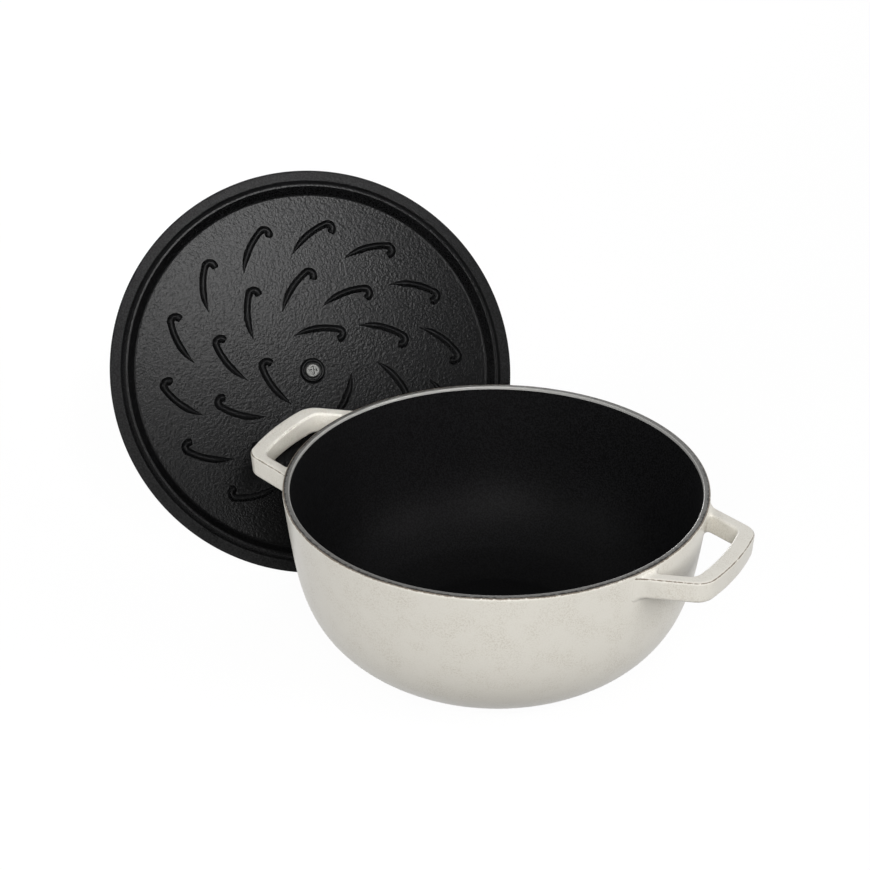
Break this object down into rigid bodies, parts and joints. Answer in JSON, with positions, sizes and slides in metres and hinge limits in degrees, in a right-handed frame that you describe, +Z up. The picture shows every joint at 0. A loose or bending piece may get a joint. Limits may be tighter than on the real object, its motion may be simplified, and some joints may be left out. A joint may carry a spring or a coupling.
{
  "type": "round french oven with lid",
  "caption": "Round enamelled cast-iron French oven with loop handles, its lid standing on edge behind it with the ridged black underside showing.",
  "frame": {"origin": "middle of the pot's flat base, on the table", "axes": "+Z up along the pot's axis, X through both handles, the lid stands on the -X +Y side"},
  "size_m": [0.4259, 0.2926, 0.2127],
  "materials": {
    "black_enamel": "matt black enamel on cast iron, fine pebbled texture, satin",
    "white_enamel": "glossy off-white enamel with fine sandy speckle",
    "nickel": "polished nickel plate",
    "screw_steel": "bright zinc plated, slightly worn"
  },
  "bodies": {
    "pot": {"pot_casting": "black_enamel", "pot_enamel": "white_enamel"},
    "lid": {"lid_casting": "black_enamel", "lid_enamel": "white_enamel", "knob": "nickel", "knob_screw": "screw_steel"}
  },
  "joints": [
    {"name": "lid_lift", "type": "slide", "parent": "pot", "child": "lid", "axis": [-0.3644, 0.4047, 0.8387], "range_m": [0, 0.25]}
  ]
}
